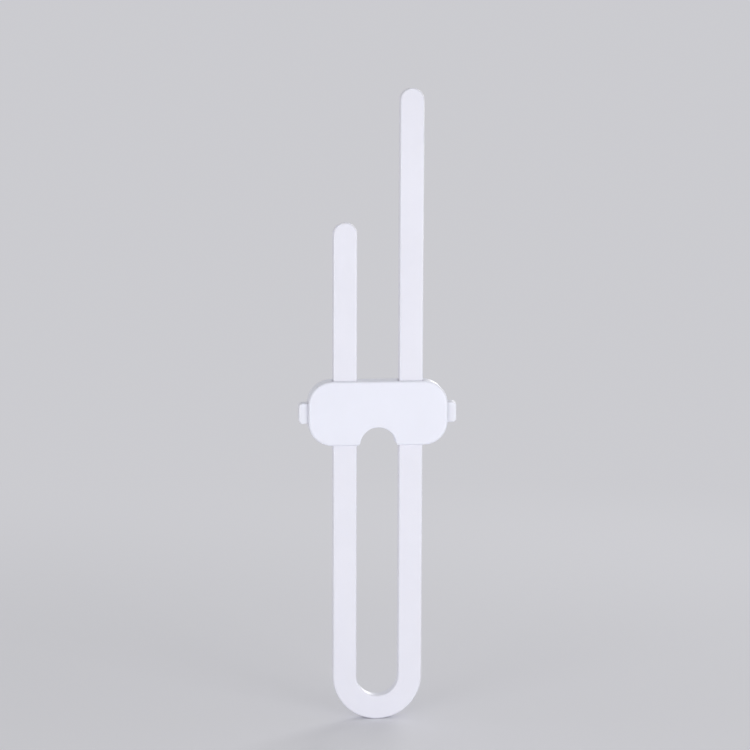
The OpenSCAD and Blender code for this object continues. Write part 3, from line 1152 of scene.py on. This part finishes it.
def pan_head(screw, seat, top):
    """The screw's head with a domed rim and a cross recess."""
    head = post("screw", screw.head / 2, 0, 0, seat, top)
    round_rim(head, top, (top - seat) * DOME_SHARE, segments=5)
    tidy_mesh(head)
    arm, width = screw.head * CROSS_LENGTH, screw.head * CROSS_WIDTH
    floor = top - (top - seat) * RECESS_SHARE
    taper = (RECESS_TAPER, 1, RECESS_TAPER)
    for x, z in ((arm, width), (width, arm)):
        cross = block("cross", (-x, floor, -z), (x, top + OVER, z))
        select(cross, "FACE", lambda face: all_at(face, Y, floor))
        bpy.ops.transform.resize(value=taper, center_override=(0, floor, 0))
        cut(head, tidy_mesh(cross))
    return head


class LOCK_OT_screws(bpy.types.Operator):
    """Model the two small screws that hold the head together"""

    bl_idname = "lock.screws"
    bl_label = "Screws"

    def execute(self, context):
        scene = context.scene
        head = head_plan(scene)
        screw = in_mm(scene.lock_screws)
        top = head.back - head.fit_gap
        seat = top - screw.head_height
        tip = seat - screw.shank_length
        made = pan_head(screw, seat, top)
        add(made, screw_shank(screw, seat, tip))
        made = merge_objects("screw", [made, screw_thread(screw, seat, tip)])
        pair = []
        for turn, (x, z) in zip(SCREW_TURNS, head.bosses):
            pick_object(made)
            bpy.ops.object.duplicate()
            copy = bpy.context.object
            copy.location = (x, 0, z)
            copy.rotation_euler.y = turn
            pair.append(apply_place(copy))
        both = merge_objects("screws", pair)
        put_together(both, "cover_pair", "head", "zinc_screw", "cover_screws")
        bpy.data.objects.remove(made)
        return {"FINISHED"}


def mixed(tree, share, first, second):
    """One shader where the share is 0, and the other where it is 1."""
    mix = new_node(tree, "MixShader")
    for socket, output in zip(mix.inputs, (share, first, second)):
        tree.links.new(output, socket)
    return mix.outputs["Shader"]


def seen_and_lit(tree, output, seen, lit):
    """Puts out one shader to the camera and in reflections, and the other to light things with."""
    path = new_node(tree, "LightPath")
    total = path.outputs["Is Camera Ray"]
    for name in ("Is Glossy Ray", "Is Transmission Ray"):
        plus = new_node(tree, "Math")
        plus.operation = "MAXIMUM"
        tree.links.new(total, plus.inputs[0])
        tree.links.new(path.outputs[name], plus.inputs[1])
        total = plus.outputs[0]
    tree.links.new(mixed(tree, total, lit, seen), new_node(tree, output).inputs["Surface"])


def make_world(scene, tint):
    """Even ambient light, with the backdrop's colour where the camera sees it."""
    world = bpy.data.worlds.new("studio")
    scene.world = world
    world.use_nodes = True
    tree = world.node_tree
    tree.nodes.clear()
    seen = new_node(tree, "Background", Color=shade(tint, 1))
    lit = new_node(tree, "Background", Color=(1, 1, 1, 1), Strength=AMBIENT)
    seen_and_lit(tree, "OutputWorld", seen.outputs["Background"], lit.outputs["Background"])


def floor_material(tint):
    """Pale floor that keeps the shadow near the lock and fades into the backdrop."""
    material = bpy.data.materials.new("studio_floor")
    material.use_nodes = True
    tree = material.node_tree
    tree.nodes.clear()
    paper = new_node(tree, "BsdfDiffuse", Color=shade(tint, FLOOR_SHARE))
    glow = new_node(tree, "Emission", Color=shade(tint, 1))
    coordinates = new_node(tree, "TexCoord").outputs["Object"]
    distance = new_node(tree, "VectorMath")
    distance.operation = "LENGTH"
    tree.links.new(coordinates, distance.inputs[0])
    fade = new_node(tree, "MapRange", From_Min=FADE_START, From_Max=FADE_END)
    fade.interpolation_type = "SMOOTHSTEP"
    tree.links.new(distance.outputs["Value"], fade.inputs["Value"])
    faded = mixed(tree, fade.outputs["Result"], paper.outputs["BSDF"], glow.outputs["Emission"])
    seen_and_lit(tree, "OutputMaterial", faded, paper.outputs["BSDF"])
    return material


def add_light(name, place, target, size, power):
    """A soft square lamp that faces a point."""
    clear_selection()
    bpy.ops.object.light_add(type="AREA", location=place)
    lamp = bpy.context.object
    lamp.name = name
    lamp.data.size = size
    lamp.data.energy = power
    lamp.visible_camera = False
    lamp.rotation_euler = (Vector(target) - Vector(place)).to_track_quat("-Z", "Y").to_euler()


def add_camera(scene):
    """The photograph's view of the lock."""
    bpy.ops.object.camera_add(
        location=CAMERA_PLACE, rotation=[math.radians(turn) for turn in CAMERA_TURN]
    )
    camera = bpy.context.object
    camera.name = "camera"
    camera.data.lens = scene.lock_stage.focal
    camera.data.sensor_width = 36
    camera.data.clip_start = 0.01
    scene.camera = camera


class LOCK_OT_stage(bpy.types.Operator):
    """Set up the floor, the lamps, the backdrop and the camera"""

    bl_idname = "lock.stage"
    bl_label = "Studio"

    def execute(self, context):
        scene = context.scene
        tint = scene.lock_finishes.backdrop
        clear_selection()
        bpy.ops.mesh.primitive_circle_add(
            vertices=96,
            radius=scene.lock_stage.reach,
            fill_type="NGON",
            location=(0, 0, CAD_BOX[0].z),
        )
        floor = bpy.context.object
        floor.name = "studio_floor"
        floor.data.materials.append(floor_material(tint))
        make_world(scene, tint)
        for lamp in LAMPS:
            add_light(*lamp)
        add_camera(scene)
        scene.view_settings.view_transform = "Standard"
        return {"FINISHED"}


class LOCK_PT_panel(bpy.types.Panel):
    bl_label = "Cabinet Lock"
    bl_idname = "LOCK_PT_panel"
    bl_space_type = "VIEW_3D"
    bl_region_type = "UI"
    bl_category = "Cabinet Lock"

    def draw(self, context):
        layout = self.layout
        for operator in OPERATORS:
            layout.operator(operator.bl_idname)
        for name, group in SETTINGS.items():
            box = layout.box()
            for prop in group.__annotations__:
                box.prop(getattr(context.scene, name), prop)


OPERATORS = (
    LOCK_OT_stage,
    LOCK_OT_bar,
    LOCK_OT_front_cover,
    LOCK_OT_rear_cover,
    LOCK_OT_buttons,
    LOCK_OT_springs,
    LOCK_OT_screws,
)


def register():
    for made in (*SETTINGS.values(), *OPERATORS, LOCK_PT_panel):
        bpy.utils.register_class(made)
    for name, group in SETTINGS.items():
        setattr(bpy.types.Scene, name, PointerProperty(type=group))


def unregister():
    for name in SETTINGS:
        delattr(bpy.types.Scene, name)
    for made in (LOCK_PT_panel, *reversed(OPERATORS), *reversed(list(SETTINGS.values()))):
        bpy.utils.unregister_class(made)


def main():
    register()
    bpy.ops.lock.stage()
    bpy.ops.lock.bar()
    bpy.ops.lock.front_cover()
    bpy.ops.lock.rear_cover()
    bpy.ops.lock.buttons()
    bpy.ops.lock.springs()
    bpy.ops.lock.screws()


if __name__ == "__main__":
    main()
